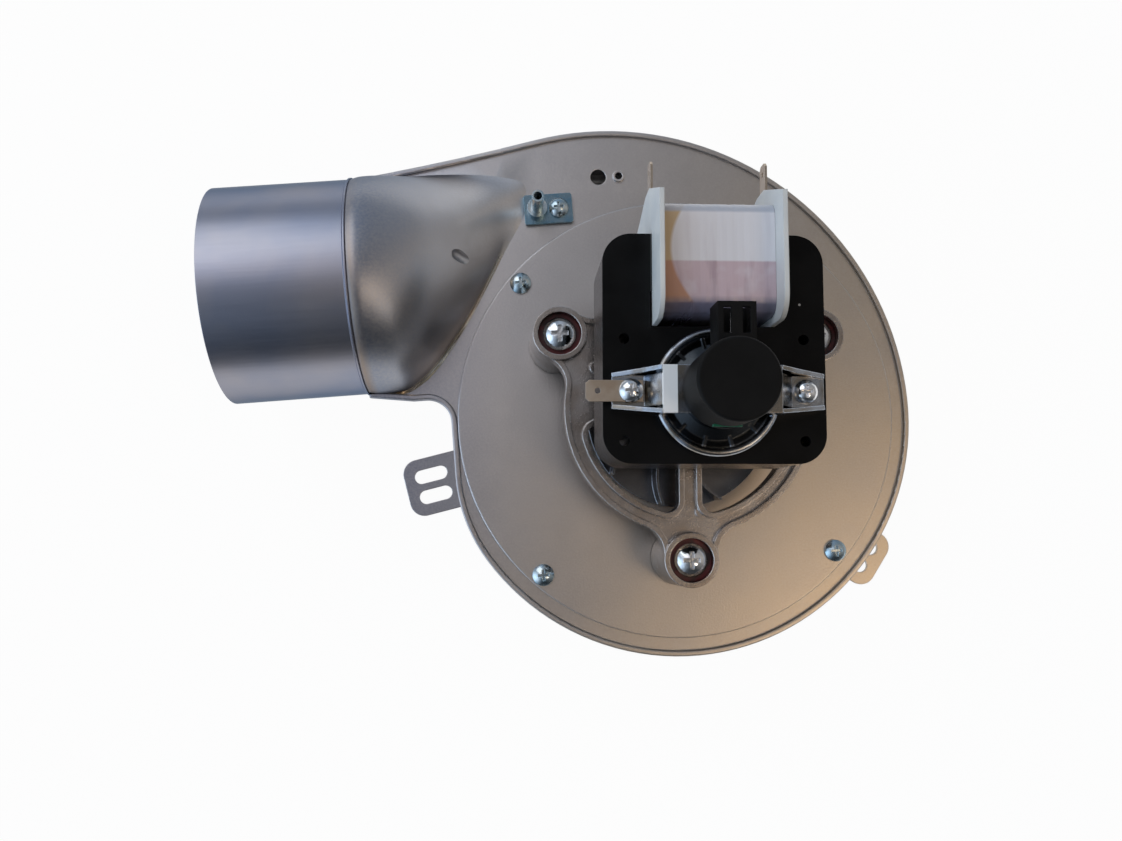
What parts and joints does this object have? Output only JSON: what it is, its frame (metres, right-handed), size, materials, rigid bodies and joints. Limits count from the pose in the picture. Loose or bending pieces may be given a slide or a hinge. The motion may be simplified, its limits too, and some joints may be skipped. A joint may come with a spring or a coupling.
{
  "type": "flue gas fan",
  "caption": "Sheet-metal scroll casing with a round side outlet and a rear inlet, driven by an open-frame shaded-pole motor on rubber mounts, with a speed sensor on the shaft end.",
  "frame": {"origin": "on the motor axis in the rest plane, the back face of the mounting plate, at the centre of its ring", "axes": "+Z along the motor axis from the inlet at the back towards the motor; -X along the outlet spigot, the way the gas leaves; +Y from the motor axis towards the spigot's axis"},
  "size_m": [0.2553, 0.2011, 0.1516],
  "materials": {
    "casing_steel": "satin",
    "tube_steel": "satin",
    "zinc": "gloss",
    "bright_screw": "polished",
    "cast_alloy": "satin",
    "aluminium_sheet": "satin",
    "bearing_steel": "satin",
    "black_lamination": "gloss",
    "copper": "gloss",
    "tinned_metal": "satin",
    "white_nylon": "satin",
    "clear_tape": "gloss",
    "gasket": "matte",
    "rubber": "matte",
    "black_plastic": "matte",
    "green_board": "gloss",
    "magnet": "matte"
  },
  "bodies": {
    "fixed_parts": {"back_shell": "casing_steel", "front_shell": "casing_steel", "outlet_spigot": "tube_steel", "mounting_plate": "casing_steel", "motor_plate": "casing_steel", "plate_gasket": "gasket", "plate_screws": "zinc", "tap_gasket": "gasket", "tap_plate": "zinc", "tap_nozzle": "zinc", "tap_screw": "zinc", "mount_posts": "zinc", "grommets": "rubber", "spacer_sleeves": "zinc", "dome_screws": "bright_screw", "spider_bracket": "cast_alloy", "rear_bearing": "bearing_steel", "front_bearing": "bearing_steel", "stator_stack": "black_lamination", "coil_core": "black_lamination", "shading_rings": "copper", "bobbin": "white_nylon", "coil_winding": "copper", "coil_tape": "clear_tape", "coil_terminals": "tinned_metal", "front_bearing_bracket": "cast_alloy", "motor_screws": "zinc", "earth_tab": "tinned_metal", "sensor_base": "black_plastic", "sensor_board": "green_board", "sensor_cap": "black_plastic", "connector_pins": "tinned_metal"},
    "rotor": {"shaft": "bearing_steel", "sensor_magnet": "magnet", "rotor_core": "black_lamination", "rotor_end_rings": "cast_alloy", "impeller": "aluminium_sheet", "impeller_hub": "bearing_steel", "impeller_nut": "zinc", "cooling_fan": "aluminium_sheet"}
  },
  "joints": [
    {"name": "rotor_spin", "type": "hinge", "parent": "fixed_parts", "child": "rotor", "pos_m": [0, 0, 0], "axis": [0, 0, 1], "continuous": true}
  ]
}
